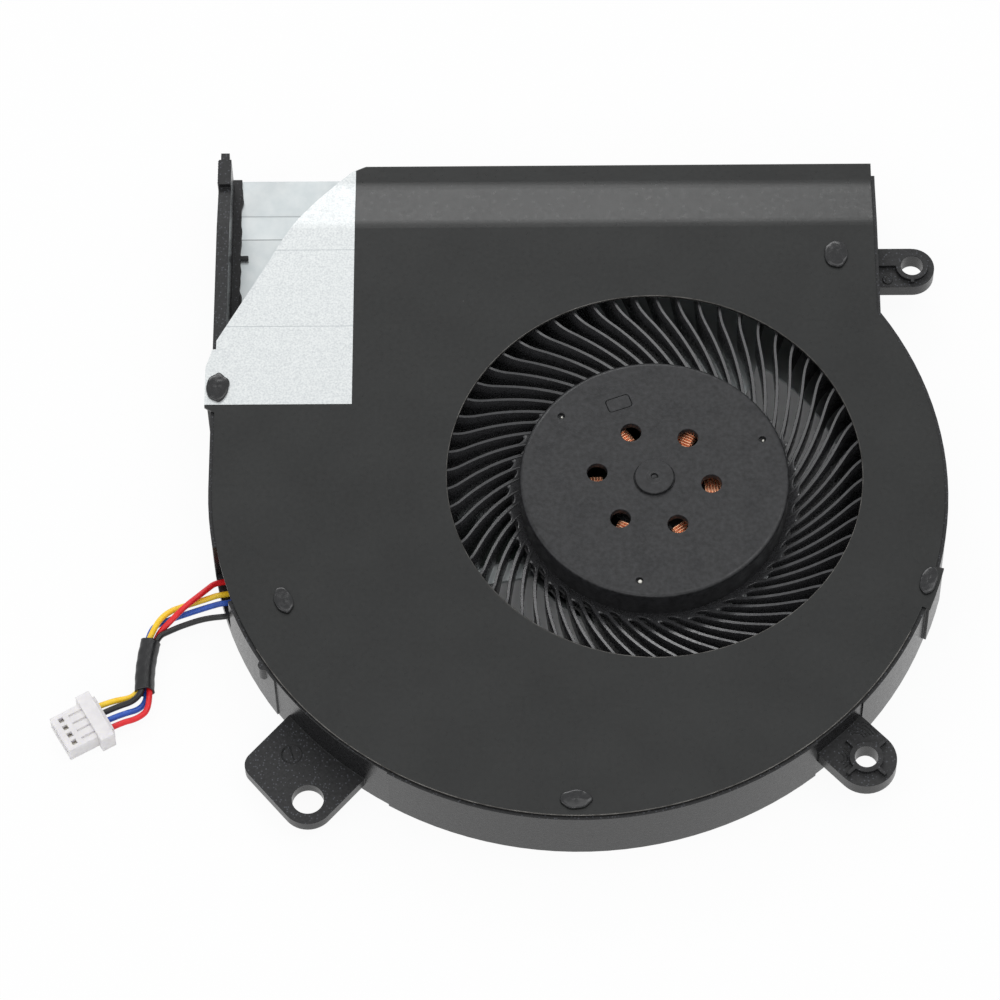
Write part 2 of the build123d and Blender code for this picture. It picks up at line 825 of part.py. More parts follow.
# Routes of the four leads, from the board's tail through the slot and the sleeve into the plug
lead_routes = {
    "lead_red": (
        (-36.65, -8.11, 0.75),
        (-41.0, -9.28, 0.75),
        (-47.25, -9.95, 2.5),
        (-48.78, -11.5, 2.75),
        (-50.85, -13.3, 2.7),
        (-52.4, -14.75, 2.0),
        (-53.95, -15.75, 0.72),
        (-54.58, -20.03, 1.11),
        (-54.25, -25.0, 1.6),
        (-55.5, -26.15, 1.4),
        (-57.55, -26.63, 1.25),
        (-60.24, -28.18, 1.25),
    ),
    "lead_yellow": (
        (-36.36, -9.17, 0.75),
        (-40.71, -10.34, 0.75),
        (-46.82, -11.57, 2.4),
        (-48.65, -12.05, 2.0),
        (-50.93, -12.68, 1.7),
        (-52.73, -13.33, 1.6),
        (-54.1, -15.1, 1.75),
        (-55.62, -19.97, 1.49),
        (-55.38, -23.35, 1.05),
        (-59.05, -24.03, 1.25),
        (-61.74, -25.58, 1.25),
    ),
    "lead_blue": (
        (-36.08, -10.24, 0.75),
        (-40.43, -11.4, 0.75),
        (-46.42, -12.6, 2.4),
        (-48.19, -12.92, 2.0),
        (-50.47, -13.46, 1.5),
        (-53.04, -14.08, 0.85),
        (-54.68, -15.05, 0.95),
        (-55.29, -19.99, 0.78),
        (-54.4, -24.45, 0.8),
        (-58.05, -25.76, 1.25),
        (-60.74, -27.31, 1.25),
    ),
    "lead_black": (
        (-35.79, -11.3, 0.75),
        (-40.14, -12.46, 0.75),
        (-46.14, -14.33, 2.4),
        (-48.6, -14.34, 2.0),
        (-51.17, -15.05, 1.6),
        (-52.7, -15.75, 1.5),
        (-53.65, -16.25, 1.5),
        (-54.91, -20.01, 1.82),
        (-55.15, -23.95, 1.78),
        (-58.55, -24.9, 1.25),
        (-61.24, -26.45, 1.25),
    ),
}
sleeve_route = (
    (-54.45, -16.85, 1.3),
    (-55.1, -20.0, 1.3),
    (-54.9, -22.9, 1.3),
)


def corner_radii(name, points):
    """Radius of the bend at each inner point of a route."""
    radii = []
    for before, corner, after in zip(points, points[1:], points[2:]):
        arriving = Vector(corner) - Vector(before)
        leaving = Vector(after) - Vector(corner)
        turn = arriving.get_angle(leaving)
        reach = corner_share * min(arriving.length, leaving.length)
        radius = reach / math.tan(math.radians(turn / 2))
        radii.append(min(radius, fold_radius if turn > sharp_turn else bend_radius))
    print(name, [round(radius, 2) for radius in radii])
    return radii


def tube(name, points, radius, bore=0.0):
    """Round cord or sleeve along a route."""
    with BuildPart() as cord:
        with BuildLine() as route:
            FilletPolyline(*points, radius=corner_radii(name, points))
        with BuildSketch(Plane(origin=points[0], z_dir=Vector(points[1]) - Vector(points[0]))):
            RegularPolygon(radius, cord_sides)
            if bore:
                RegularPolygon(bore, cord_sides, major_radius=False, mode=Mode.SUBTRACT)
        sweep(path=route.wires()[0])
    save(cord.part, name)


for name, points in lead_routes.items():
    tube(name, points, lead_diameter / 2)
tube("lead_sleeve", sleeve_route, sleeve_radius, sleeve_bore)

# Plug: local x runs from its rear face to its front, local y across the ways
plug_face = Plane(origin=(*plug_rear, 0), x_dir=(*polar(1, plug_angle), 0))
ways = [(way - (plug_ways - 1) / 2) * plug_pitch for way in range(plug_ways)]
with BuildPart() as plug_housing:
    with BuildSketch(plug_face.offset(plug_lift)):
        Rectangle(plug_length, plug_width, align=(Align.MIN, Align.CENTER))
    extrude(amount=plug_height - plug_lift)
    with BuildSketch(plug_face):
        with Locations((flange_start - flange_length, 0)):
            Rectangle(flange_length, flange_width, align=(Align.MIN, Align.CENTER))
    extrude(amount=flange_height)
    with BuildSketch(plug_face.offset(cavity_height - cavity / 2)):
        with Locations(*[(0, way) for way in ways]):
            Rectangle(plug_length, cavity, align=(Align.MIN, Align.CENTER))
    extrude(amount=cavity, mode=Mode.SUBTRACT)
    with BuildSketch(plug_face.offset(cavity_height)):
        with Locations(*[(plug_length - window_from_front, way) for way in ways]):
            Rectangle(window, window)
    extrude(amount=plug_height, mode=Mode.SUBTRACT)
    with BuildSketch(plug_face.offset(plug_height)):
        with Locations(*[(flange_start, way) for way in ways]):
            Rectangle(key_groove_length, key_groove_width, align=(Align.MIN, Align.CENTER))
    extrude(amount=-key_groove_depth, mode=Mode.SUBTRACT)
save(plug_housing.part, "plug_housing")


def terminal(number, way):
    """Crimped contact in one way of the plug: a box open at its front."""
    rear = plug_face.offset(cavity_height - terminal_width / 2)
    with BuildPart() as contact:
        with BuildSketch(rear):
            with Locations((lead_depth, way)):
                Rectangle(terminal_length, terminal_width, align=(Align.MIN, Align.CENTER))
        extrude(amount=terminal_width)
        inside = terminal_width - 2 * terminal_wall
        with BuildSketch(rear.offset(terminal_wall)):
            with Locations((lead_depth + terminal_wall, way)):
                Rectangle(terminal_length, inside, align=(Align.MIN, Align.CENTER))
        extrude(amount=inside, mode=Mode.SUBTRACT)
    save(contact.part, f"terminal_{number}")


for number, way in enumerate(ways, start=1):
    terminal(number, way)
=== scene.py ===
"""Dressed scene of a laptop's blower fan. Sizes are in millimetres until they reach a mesh."""
import math
import random

import bmesh
import bpy
from mathutils import Matrix, Vector


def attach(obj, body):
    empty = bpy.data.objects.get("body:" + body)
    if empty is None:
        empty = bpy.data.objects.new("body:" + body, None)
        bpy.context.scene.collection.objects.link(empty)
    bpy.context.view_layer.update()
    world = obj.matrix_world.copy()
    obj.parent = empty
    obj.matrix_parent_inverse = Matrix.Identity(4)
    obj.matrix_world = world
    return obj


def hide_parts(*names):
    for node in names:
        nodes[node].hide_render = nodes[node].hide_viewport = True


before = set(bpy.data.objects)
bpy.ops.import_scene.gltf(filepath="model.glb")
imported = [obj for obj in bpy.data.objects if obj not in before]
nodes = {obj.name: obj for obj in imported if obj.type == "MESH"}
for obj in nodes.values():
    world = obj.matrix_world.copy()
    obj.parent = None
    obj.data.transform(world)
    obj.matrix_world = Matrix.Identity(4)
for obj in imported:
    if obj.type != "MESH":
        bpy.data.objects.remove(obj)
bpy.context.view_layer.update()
collection = bpy.context.scene.collection
MM = 0.001

# Sizes that the part has
COVER_TOP = 8.0
HUB_TOP = 6.9
VOLUTE = Vector((-8.3, -1.5))
LEAD_RADIUS = 0.325
SLEEVE_RADIUS = 1.1
STATOR_ANGLE = 4.5
COILS = 6


def srgb(red, green, blue):
    """Linear colour of a screen colour given from 0 to 255."""
    parts = []
    for value in (red, green, blue):
        share = value / 255
        parts.append(share / 12.92 if share <= 0.04045 else ((share + 0.055) / 1.055) ** 2.4)
    return tuple(parts)


class Finish:
    """Node material: a Principled shader and the patterns that feed it, in metres on the part."""

    def __init__(self, name, colour, roughness, metallic=0.0, specular=0.5):
        self.material = bpy.data.materials.new(name)
        self.material.use_nodes = True
        self.tree = self.material.node_tree
        self.shader = self.tree.nodes["Principled BSDF"]
        self.shader.inputs["Base Color"].default_value = (*colour, 1.0)
        self.shader.inputs["Roughness"].default_value = roughness
        self.shader.inputs["Metallic"].default_value = metallic
        self.shader.inputs["Specular IOR Level"].default_value = specular
        self.place = self.tree.nodes.new("ShaderNodeTexCoord").outputs["Object"]
        self.normal = None

    def node(self, kind):
        return self.tree.nodes.new(kind)

    def link(self, source, target):
        self.tree.links.new(source, target)

    def noise(self, size, detail=3.0, stretch=(1.0, 1.0, 1.0)):
        """Soft noise with grains of about this size in millimetres."""
        mapping = self.node("ShaderNodeMapping")
        mapping.inputs["Scale"].default_value = stretch
        self.link(self.place, mapping.inputs["Vector"])
        texture = self.node("ShaderNodeTexNoise")
        texture.inputs["Scale"].default_value = 1 / (size * MM)
        texture.inputs["Detail"].default_value = detail
        self.link(mapping.outputs["Vector"], texture.inputs["Vector"])
        return texture.outputs["Fac"]

    def math(self, operation, first, second):
        """Value of a sum on two inputs, each a socket or a number."""
        node = self.node("ShaderNodeMath")
        node.operation = operation
        for socket, value in zip(node.inputs, (first, second)):
            if isinstance(value, float):
                socket.default_value = value
            else:
                self.link(value, socket)
        return node.outputs["Value"]

    def stripe(self, axis, at, half):
        """Mask of a hairline across an axis, at a place and with a half width in millimetres."""
        split = self.node("ShaderNodeSeparateXYZ")
        self.link(self.place, split.inputs["Vector"])
        away = self.math("ABSOLUTE", self.math("SUBTRACT", split.outputs[axis], at * MM), 0.0)
        return self.math("LESS_THAN", away, half * MM)

    def specks(self, size, reach):
        """Mask of small round specks, one in each cell of this size in millimetres."""
        texture = self.node("ShaderNodeTexVoronoi")
        texture.inputs["Scale"].default_value = 1 / (size * MM)
        self.link(self.place, texture.inputs["Vector"])
        return self.math("LESS_THAN", texture.outputs["Distance"], reach / size)

    def facing_up(self):
        """Mask of the faces that look up."""
        split = self.node("ShaderNodeSeparateXYZ")
        self.link(self.node("ShaderNodeNewGeometry").outputs["Normal"], split.inputs["Vector"])
        return self.math("GREATER_THAN", split.outputs["Z"], 0.7)

    def overlay(self, mask, colour, strength):
        """Colour over what the shader has, where the mask is one."""
        base = self.shader.inputs["Base Color"]
        mix = self.node("ShaderNodeMix")
        mix.data_type = "RGBA"
        self.link(self.math("MULTIPLY", mask, strength), mix.inputs["Factor"])
        below, over = [socket for socket in mix.inputs if socket.type == "RGBA"]
        over.default_value = (*colour, 1.0)
        if base.is_linked:
            self.link(base.links[0].from_socket, below)
        else:
            below.default_value = base.default_value
        self.link([socket for socket in mix.outputs if socket.type == "RGBA"][0], base)

    def ramp(self, value, stops):
        """Colours at positions along a value."""
        ramp = self.node("ShaderNodeValToRGB")
        elements = ramp.color_ramp.elements
        while len(elements) < len(stops):
            elements.new(0.5)
        for element, (position, colour) in zip(elements, stops):
            element.position = position
            element.color = (*colour, 1.0)
        self.link(value, ramp.inputs["Fac"])
        return ramp.outputs["Color"]

    def paint(self, value, stops):
        self.link(self.ramp(value, stops), self.shader.inputs["Base Color"])

    def gloss(self, value, low, high, start=0.3, end=0.7):
        """Roughness that varies with a value."""
        spread = self.node("ShaderNodeMapRange")
        spread.inputs["From Min"].default_value = start
        spread.inputs["From Max"].default_value = end
        spread.inputs["To Min"].default_value = low
        spread.inputs["To Max"].default_value = high
        self.link(value, spread.inputs["Value"])
        self.link(spread.outputs["Result"], self.shader.inputs["Roughness"])

    def soften(self, radius):
        """Edges that catch the light as if they were rounded."""
        bevel = self.node("ShaderNodeBevel")
        bevel.samples = 6
        bevel.inputs["Radius"].default_value = radius * MM
        self.normal = bevel.outputs["Normal"]
        self.link(self.normal, self.shader.inputs["Normal"])

    def bump(self, value, depth):
        """Relief of this depth in millimetres, on top of what is there."""
        bump = self.node("ShaderNodeBump")
        bump.inputs["Strength"].default_value = 1.0
        bump.inputs["Distance"].default_value = depth * MM
        self.link(value, bump.inputs["Height"])
        if self.normal is not None:
            self.link(self.normal, bump.inputs["Normal"])
        self.normal = bump.outputs["Normal"]
        self.link(self.normal, self.shader.inputs["Normal"])


# Finishes
frame_plastic = Finish("frame_plastic", srgb(27, 27, 27), 0.28, specular=0.44)
frame_plastic.soften(0.12)
frame_plastic.bump(frame_plastic.noise(0.2, detail=4.0), 0.014)
upper_faces = frame_plastic.facing_up()
matt = frame_plastic.math("ADD", frame_plastic.noise(0.3, detail=4.0), upper_faces)
frame_plastic.gloss(matt, 0.24, 0.58, start=0.3, end=1.7)
frame_plastic.paint(
    frame_plastic.noise(0.35, detail=5.0),
    ((0.3, srgb(18, 18, 19)), (0.7, srgb(36, 36, 37))),
)
# Light specks on the up-facing tops: their moulded grain, lightened into painted glints for its sparkle.
grain = frame_plastic.math("MULTIPLY", frame_plastic.specks(0.36, 0.085), upper_faces)
frame_plastic.overlay(grain, srgb(78, 80, 86), 0.7)
stake_plastic = Finish("stake_plastic", srgb(28, 28, 29), 0.22, specular=0.6)
stake_plastic.bump(stake_plastic.noise(1.1, detail=1.0), 0.09)
stake_plastic.gloss(stake_plastic.noise(0.5), 0.14, 0.3)

cover_paint = Finish("cover_paint", srgb(26, 27, 26), 0.3)
cover_paint.soften(0.14)
cover_paint.bump(cover_paint.noise(0.22), 0.004)
cover_paint.gloss(cover_paint.noise(0.5, detail=4.0), 0.27, 0.33)
cover_paint.paint(
    cover_paint.noise(8.0, detail=8.0),
    ((0.3, srgb(21, 22, 21)), (0.7, srgb(30, 31, 30))),
)
cover_paint.overlay(cover_paint.specks(6.0, 0.07), srgb(92, 90, 88), 0.6)
cut_edge = Finish("cut_edge", srgb(92, 89, 86), 0.35, metallic=1.0)
cut_edge.gloss(cut_edge.noise(0.4), 0.28, 0.45)
cut_edge.paint(cut_edge.noise(1.2), ((0.3, srgb(70, 68, 66)), (0.7, srgb(112, 110, 107))))

zinc_sheet = Finish("zinc_sheet", srgb(206, 211, 211), 0.34, metallic=1.0)
zinc_sheet.paint(
    zinc_sheet.noise(1.6, detail=6.0),
    ((0.3, srgb(198, 204, 205)), (0.7, srgb(210, 214, 214))),
)
zinc_sheet.gloss(zinc_sheet.noise(3.0, detail=4.0), 0.3, 0.38)
zinc_sheet.bump(zinc_sheet.noise(0.3, stretch=(1.0, 0.12, 1.0)), 0.004)
# Two darker hairlines along the bends of the plate's step: painted shade in its creases.
zinc_sheet.overlay(zinc_sheet.stripe("Y", 34.9, 0.05), srgb(120, 124, 126), 0.75)
zinc_sheet.overlay(zinc_sheet.stripe("Y", 37.7, 0.05), srgb(150, 154, 156), 0.5)
zinc_sheet.overlay(zinc_sheet.specks(3.5, 0.05), srgb(120, 122, 122), 0.5)

foil = Finish("foil", srgb(222, 225, 225), 0.5, metallic=1.0)
foil.paint(
    foil.noise(0.2, detail=3.0),
    ((0.3, srgb(198, 201, 202)), (0.5, srgb(212, 215, 215)), (0.72, srgb(224, 226, 225))),
)
foil.gloss(foil.noise(0.5), 0.46, 0.54)
foil.bump(foil.noise(0.22, detail=3.0), 0.005)
foil.overlay(foil.stripe("Y", 28.7, 0.035), srgb(150, 156, 160), 0.7)
foil.overlay(foil.stripe("Y", 18.8, 0.035), srgb(150, 156, 160), 0.7)
foil.overlay(foil.specks(5.0, 0.06), srgb(150, 152, 152), 0.5)

impeller_plastic = Finish("impeller_plastic", srgb(30, 30, 31), 0.36)
impeller_plastic.soften(0.06)
impeller_plastic.bump(impeller_plastic.noise(0.2), 0.02)
impeller_plastic.gloss(impeller_plastic.noise(2.4, detail=8.0), 0.3, 0.5)
impeller_plastic.paint(
    impeller_plastic.noise(0.5, detail=8.0),
    ((0.3, srgb(18, 18, 19)), (0.7, srgb(42, 42, 44))),
)
# Blades: the impeller's plastic again, glossier, with a lighter base colour that is painted light for
# their lit sides.
lightened_blade_plastic = Finish("lightened_blade_plastic", srgb(47, 47, 48), 0.3, specular=0.9)
lightened_blade_plastic.bump(lightened_blade_plastic.noise(0.16, detail=4.0), 0.006)
lightened_blade_plastic.gloss(lightened_blade_plastic.noise(0.3, detail=4.0), 0.2, 0.36)
lightened_blade_plastic.paint(
    lightened_blade_plastic.noise(0.5, detail=4.0),
    ((0.3, srgb(42, 42, 43)), (0.7, srgb(53, 53, 55))),
)


def metal(name, colour, roughness, grain):
    """Plain metal with a fine grain of this size."""
    made = Finish(name, colour, roughness, metallic=1.0)
    made.bump(made.noise(grain), 0.004)
    made.gloss(made.noise(4 * grain), 0.8 * roughness, 1.2 * roughness)
    return made


def moulding(name, dark, light, roughness, grain):
    """Moulded or cast stuff whose shade drifts between two colours."""
    made = Finish(name, light, roughness)
    made.paint(made.noise(grain, detail=4.0), ((0.3, dark), (0.7, light)))
    made.bump(made.noise(grain / 2), 0.005)
    made.gloss(made.noise(3 * grain), 0.85 * roughness, 1.15 * roughness)
    return made


steel = metal("steel", srgb(190, 190, 192), 0.35, 0.3)
shaft_steel = metal("shaft_steel", srgb(215, 215, 217), 0.15, 0.1)
brass = metal("brass", srgb(205, 170, 95), 0.3, 0.2)
bush_bronze = metal("bush_bronze", srgb(180, 135, 85), 0.5, 0.12)
terminal_tin = metal("terminal_tin", srgb(205, 202, 190), 0.28, 0.2)
core_steel = Finish("core_steel", srgb(150, 150, 152), 0.4, metallic=1.0)
core_steel.bump(core_steel.noise(0.35, stretch=(0.05, 0.05, 1.0)), 0.02)
core_steel.gloss(core_steel.noise(1.0), 0.34, 0.5)
magnet = moulding("magnet", srgb(58, 54, 52), srgb(72, 68, 66), 0.55, 0.3)
pad_nylon = moulding("pad_nylon", srgb(222, 220, 210), srgb(236, 234, 226), 0.4, 0.5)
insulator = moulding("insulator", srgb(30, 29, 28), srgb(42, 40, 38), 0.45, 0.5)
board = moulding("board", srgb(18, 34, 26), srgb(24, 46, 35), 0.35, 1.4)
chip = moulding("chip", srgb(30, 30, 31), srgb(40, 40, 41), 0.5, 0.2)
capacitor = moulding("capacitor", srgb(150, 112, 78), srgb(176, 138, 100), 0.4, 0.3)
copper = Finish("copper", srgb(252, 174, 130), 0.2, metallic=0.85)
copper.paint(copper.noise(0.4), ((0.3, srgb(250, 166, 122)), (0.7, srgb(255, 202, 166))))
copper.gloss(copper.noise(0.8), 0.18, 0.3)


def insulation(name, dark, light):
    """Extruded insulation of a lead: soft gloss with faint drag marks."""
    made = Finish(name, light, 0.36)
    made.paint(made.noise(0.9, detail=4.0), ((0.3, dark), (0.7, light)))
    made.bump(made.noise(0.12), 0.006)
    made.gloss(made.noise(0.6), 0.3, 0.44)
    return made


lead_finish = {
    "red": insulation("lead_red", srgb(218, 24, 32), srgb(236, 40, 46)),
    "yellow": insulation("lead_yellow", srgb(250, 200, 28), srgb(255, 218, 62)),
    "blue": insulation("lead_blue", srgb(32, 74, 166), srgb(48, 96, 196)),
    "black": insulation("lead_black", srgb(20, 20, 21), srgb(32, 32, 33)),
}
sleeve_finish = insulation("sleeve", srgb(26, 26, 27), srgb(38, 38, 39))
plug_nylon = Finish("plug_nylon", srgb(228, 226, 226), 0.35)
plug_nylon.soften(0.18)
plug_nylon.paint(plug_nylon.noise(1.2), ((0.3, srgb(223, 220, 221)), (0.7, srgb(233, 230, 230))))
plug_nylon.bump(plug_nylon.noise(0.2), 0.004)
plug_nylon.gloss(plug_nylon.noise(1.5), 0.3, 0.42)
plug_nylon.shader.inputs["Subsurface Weight"].default_value = 0.6
plug_nylon.shader.inputs["Subsurface Radius"].default_value = (0.6 * MM, 0.6 * MM, 0.7 * MM)
plug_nylon.shader.inputs["Subsurface Scale"].default_value = 1.0
solder = metal("solder", srgb(205, 205, 208), 0.25, 0.2)
# Near-black finish: painted shade for recess edges and slits.
painted_hole_shade = moulding("painted_hole_shade", srgb(9, 9, 9), srgb(14, 14, 14), 0.7, 0.2)

node_finish = {
    "frame": frame_plastic,
    "top_cover": cover_paint,
    "base_plate": zinc_sheet,
    "foil_patch": foil,
    "impeller": impeller_plastic,
    "rotor_yoke": steel,
    "magnet_ring": magnet,
    "shaft": shaft_steel,
    "bearing_holder": brass,
    "bearing_bush": bush_bronze,
    "thrust_pad": pad_nylon,
    "stator_core": core_steel,
    "lower_insulator": insulator,
    "upper_insulator": insulator,
    "circuit_board": board,
    "driver_chip": chip,
    "board_capacitor": capacitor,
    "lead_red": lead_finish["red"],
    "lead_yellow": lead_finish["yellow"],
    "lead_blue": lead_finish["blue"],
    "lead_black": lead_finish["black"],
    "lead_sleeve": sleeve_finish,
    "plug_housing": plug_nylon,
}
for name, thing in nodes.items():
    if name.startswith("coil_"):
        made = copper
    elif name.startswith("terminal_"):
        made = terminal_tin
    else:
        made = node_finish[name]
    thing.data.materials.clear()
    thing.data.materials.append(made.material)


def place(name, data, finish, body="housing"):
    """Add a piece to the scene, on a body."""
    data.materials.append(finish.material)
    thing = bpy.data.objects.new(name, data)
    collection.objects.link(thing)
    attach(thing, body)
    return thing


def mesh_of(name, shape):
    """Smooth mesh from a finished shape."""
    bmesh.ops.recalc_face_normals(shape, faces=shape.faces)
    mesh = bpy.data.meshes.new(name)
    shape.to_mesh(mesh)
    shape.free()
    mesh.shade_smooth()
    return mesh


def curve_of(name, points, radius, steps, sides):
    """Smooth curve with these control points, in millimetres."""
    curve = bpy.data.curves.new(name, "CURVE")
    curve.dimensions = "3D"
    curve.bevel_depth = radius * MM
    curve.bevel_resolution = sides
    curve.use_fill_caps = True
    spline = curve.splines.new("NURBS")
    spline.points.add(len(points) - 1)
    for point, where in zip(spline.points, points):
        point.co = (*(Vector(where) * MM), 1.0)
    spline.order_u = 3
    spline.use_endpoint_u = True
    spline.resolution_u = steps
    return curve


def ring_points(where, radius, level, sides):
    """Points of a level circle."""
    points = []
    for step in range(sides):
        angle = math.tau * step / sides
        points.append((where[0] + radius * math.cos(angle), where[1] + radius * math.sin(angle), level))
    return points


def add_bands(shape, rings):
    """Skin over a row of equal rings of points, in millimetres; gives back the first and the last loop."""
    loops = [[shape.verts.new(Vector(point) * MM) for point in ring] for ring in rings]
    for loop, following in zip(loops, loops[1:]):
        for a, b, c, d in zip(loop, loop[1:] + loop[:1], following[1:] + following[:1], following):
            shape.faces.new((a, b, c, d))
    return loops[0], loops[-1]


def ring_strip(shape, rings):
    """Skin over a row of rings, with its two ends filled."""
    first, last = add_bands(shape, rings)
    shape.faces.new(first)
    shape.faces.new(last)


def lathe(name, where, profile, finish, body, sides):
    """Turned piece about a vertical axis; the profile gives radius and level."""
    shape = bmesh.new()
    ring_strip(shape, [ring_points(where, radius, level, sides) for radius, level in profile])
    place(name, mesh_of(name, shape), finish, body)


def hoop(name, where, radius, level, profile, sides, finish):
    """Closed ring; the profile gives how far out and how high its corners lie."""
    shape = bmesh.new()
    rows = [ring_points(where, radius + reach, level + lift, sides) for reach, lift in profile]
    rows.append(rows[0])
    add_bands(shape, rows)
    bmesh.ops.remove_doubles(shape, verts=shape.verts, dist=0.0001 * MM)
    place(name, mesh_of(name, shape), finish)


# Leads: the routes of the part, from the board's tail to the plug
routes = {
    "red": (
        (-36.65, -8.11, 0.75),
        (-41.0, -9.28, 0.75),
        (-47.25, -9.95, 2.5),
        (-48.78, -11.5, 2.75),
        (-50.85, -13.3, 2.7),
        (-52.4, -14.75, 2.0),
        (-53.95, -15.75, 0.72),
        (-54.58, -20.03, 1.11),
        (-54.25, -25.0, 1.6),
        (-55.5, -26.15, 1.4),
        (-57.55, -26.63, 1.25),
        (-60.24, -28.18, 1.25),
    ),
    "yellow": (
        (-36.36, -9.17, 0.75),
        (-40.71, -10.34, 0.75),
        (-46.82, -11.57, 2.4),
        (-48.65, -12.05, 2.0),
        (-50.93, -12.68, 1.7),
        (-52.73, -13.33, 1.6),
        (-54.1, -15.1, 1.75),
        (-55.62, -19.97, 1.49),
        (-55.38, -23.35, 1.05),
        (-59.05, -24.03, 1.25),
        (-61.74, -25.58, 1.25),
    ),
    "blue": (
        (-36.08, -10.24, 0.75),
        (-40.43, -11.4, 0.75),
        (-46.42, -12.6, 2.4),
        (-48.19, -12.92, 2.0),
        (-50.47, -13.46, 1.5),
        (-53.04, -14.08, 0.85),
        (-54.68, -15.05, 0.95),
        (-55.29, -19.99, 0.78),
        (-54.4, -24.45, 0.8),
        (-58.05, -25.76, 1.25),
        (-60.74, -27.31, 1.25),
    ),
    "black": (
        (-35.79, -11.3, 0.75),
        (-40.14, -12.46, 0.75),
        (-46.14, -14.33, 2.4),
        (-48.6, -14.34, 2.0),
        (-51.17, -15.05, 1.6),
        (-52.7, -15.75, 1.5),
        (-53.65, -16.25, 1.5),
        (-54.91, -20.01, 1.82),
        (-55.15, -23.95, 1.78),
        (-58.55, -24.9, 1.25),
        (-61.24, -26.45, 1.25),
    ),
}
lead_terminals = {"yellow": "terminal_1", "black": "terminal_2", "blue": "terminal_3", "red": "terminal_4"}
leads = {}
for colour, route in routes.items():
    curve = curve_of(f"{colour}_lead", route, LEAD_RADIUS, 14, 5)
    leads[colour] = place(f"{colour}_lead", curve, lead_finish[colour])
    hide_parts(f"lead_{colour}")

# Heat-shrink sleeve: a thin tube drawn tight over the four leads
sleeve_route = ((-54.45, -16.85, 1.3), (-55.1, -20.0, 1.3), (-54.9, -22.9, 1.3))
guide = bpy.data.objects.new("sleeve_guide", curve_of("sleeve_guide", sleeve_route, 0.0, 16, 0))
collection.objects.link(guide)
bpy.context.view_layer.update()
traced = bpy.data.meshes.new_from_object(guide.evaluated_get(bpy.context.evaluated_depsgraph_get()))
sleeve_line = [vertex.co / MM for vertex in traced.vertices]
bpy.data.objects.remove(guide)
sleeve_shape = bmesh.new()
sleeve_rings = []
SLEEVE_SIDES = 40
SLEEVE_MIDDLE = SLEEVE_RADIUS - 0.07
SLEEVE_LOBES = 0.05
SLEEVE_CREASES = 0.018
SLEEVE_FLARE = 0.02
SLEEVE_WALL = 0.12
for index, where in enumerate(sleeve_line):
    before = sleeve_line[max(index - 1, 0)]
    after = sleeve_line[min(index + 1, len(sleeve_line) - 1)]
    along = (after - before).normalized()
    side = along.cross(Vector((0, 0, 1))).normalized()
    up = side.cross(along)
    from_end = min(index, len(sleeve_line) - 1 - index)
    ring = []
    for step in range(SLEEVE_SIDES):
        angle = math.tau * step / SLEEVE_SIDES
        lobes = SLEEVE_LOBES * math.cos(4 * (angle - 0.35))
        crease = SLEEVE_CREASES * math.sin(3 * angle + 0.9 * index)
        flare = SLEEVE_FLARE if from_end == 0 else 0.0
        radius = SLEEVE_MIDDLE * (1 + lobes + crease) + flare
        ring.append(where + radius * (math.cos(angle) * side + math.sin(angle) * up))
    sleeve_rings.append(ring)
add_bands(sleeve_shape, sleeve_rings)
sleeve = place("heat_shrink", mesh_of("heat_shrink", sleeve_shape), sleeve_finish)
sleeve_wall = sleeve.modifiers.new("wall", "SOLIDIFY")
sleeve_wall.thickness = SLEEVE_WALL * MM
sleeve_wall.offset = -1.0
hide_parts("lead_sleeve")

for colour, lead in leads.items():
    on_lead = [nodes[lead_terminals[colour]]]
    if colour == "black":
        on_lead += [sleeve, nodes["plug_housing"]]

# Windings: enamelled wire laid round each coil
WIRE_RADIUS = 0.14
TURNS = 10
TURN_STEPS = 20
TURN_CORNER = 0.22  # the smaller, the squarer the turns
COIL_LOW = 1.65
COIL_HIGH = 5.15
WOUND_FROM = 5.3
WOUND_TO = 8.9
half_width = 1.64
half_height = (COIL_HIGH - COIL_LOW) / 2 + 0.05
wound = WOUND_TO - WOUND_FROM - 2 * WIRE_RADIUS


def squared(value):
    """Sine or cosine pushed outwards, so that a turn has flat sides."""
    return math.copysign(abs(value) ** TURN_CORNER, value)


for number in range(COILS):
    angle = math.radians(STATOR_ANGLE + number * 360 / COILS)
    along = Vector((math.cos(angle), math.sin(angle), 0))
    side = Vector((-math.sin(angle), math.cos(angle), 0))
    points = []
    for step in range(TURNS * TURN_STEPS):
        phase = math.tau * step / TURN_STEPS
        reach = WOUND_FROM + WIRE_RADIUS + wound * step / (TURNS * TURN_STEPS)
        across = squared(math.cos(phase)) * half_width
        lift = squared(math.sin(phase)) * half_height
        points.append(reach * along + across * side + Vector((0, 0, (COIL_LOW + COIL_HIGH) / 2 + lift)))
    curve = curve_of(f"winding_{number + 1}", points, WIRE_RADIUS, 2, 2)
    place(f"winding_{number + 1}", curve, copper)

# Stake heads: melted over the cover, so low domes with uneven rims
DOME = (
    (1.09, 0.0),
    (1.09, 0.2),
    (1.06, 0.3),
    (0.98, 0.35),
    (0.86, 0.375),
    (0.68, 0.395),
    (0.45, 0.412),
    (0.2, 0.42),
    (0.06, 0.42),
)
STAKE_SIDES = 48
STAKE_WAVES = 6


